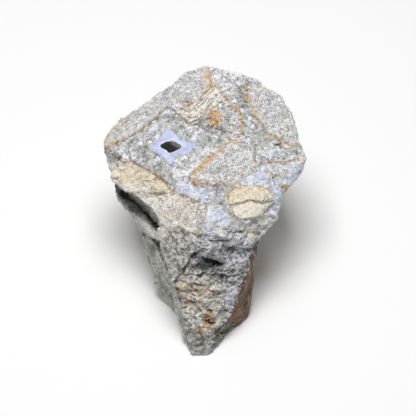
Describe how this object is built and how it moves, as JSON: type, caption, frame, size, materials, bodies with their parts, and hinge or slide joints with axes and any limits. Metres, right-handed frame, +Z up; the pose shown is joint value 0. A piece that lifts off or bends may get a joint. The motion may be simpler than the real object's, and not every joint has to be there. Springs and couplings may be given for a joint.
{
  "type": "rough agate specimen",
  "caption": "Rough wedge-shaped piece of brecciated blue agate with a broad flat upper face, a small open pocket, a narrow broken front and a flat base.",
  "frame": {"origin": "middle of the bounding box, on the flat base that the stone rests on", "axes": "+Z up from the base, -Y towards the narrow front, +Y towards the broad back"},
  "size_m": [0.1016, 0.1262, 0.0765],
  "materials": {
    "stone": "broken rock: grey-green and cream fragments with ochre rims in whitish quartz, pale blue chalcedony round the pocket, rust on the right side"
  },
  "bodies": {
    "root": {"agate": "stone"}
  },
  "joints": []
}
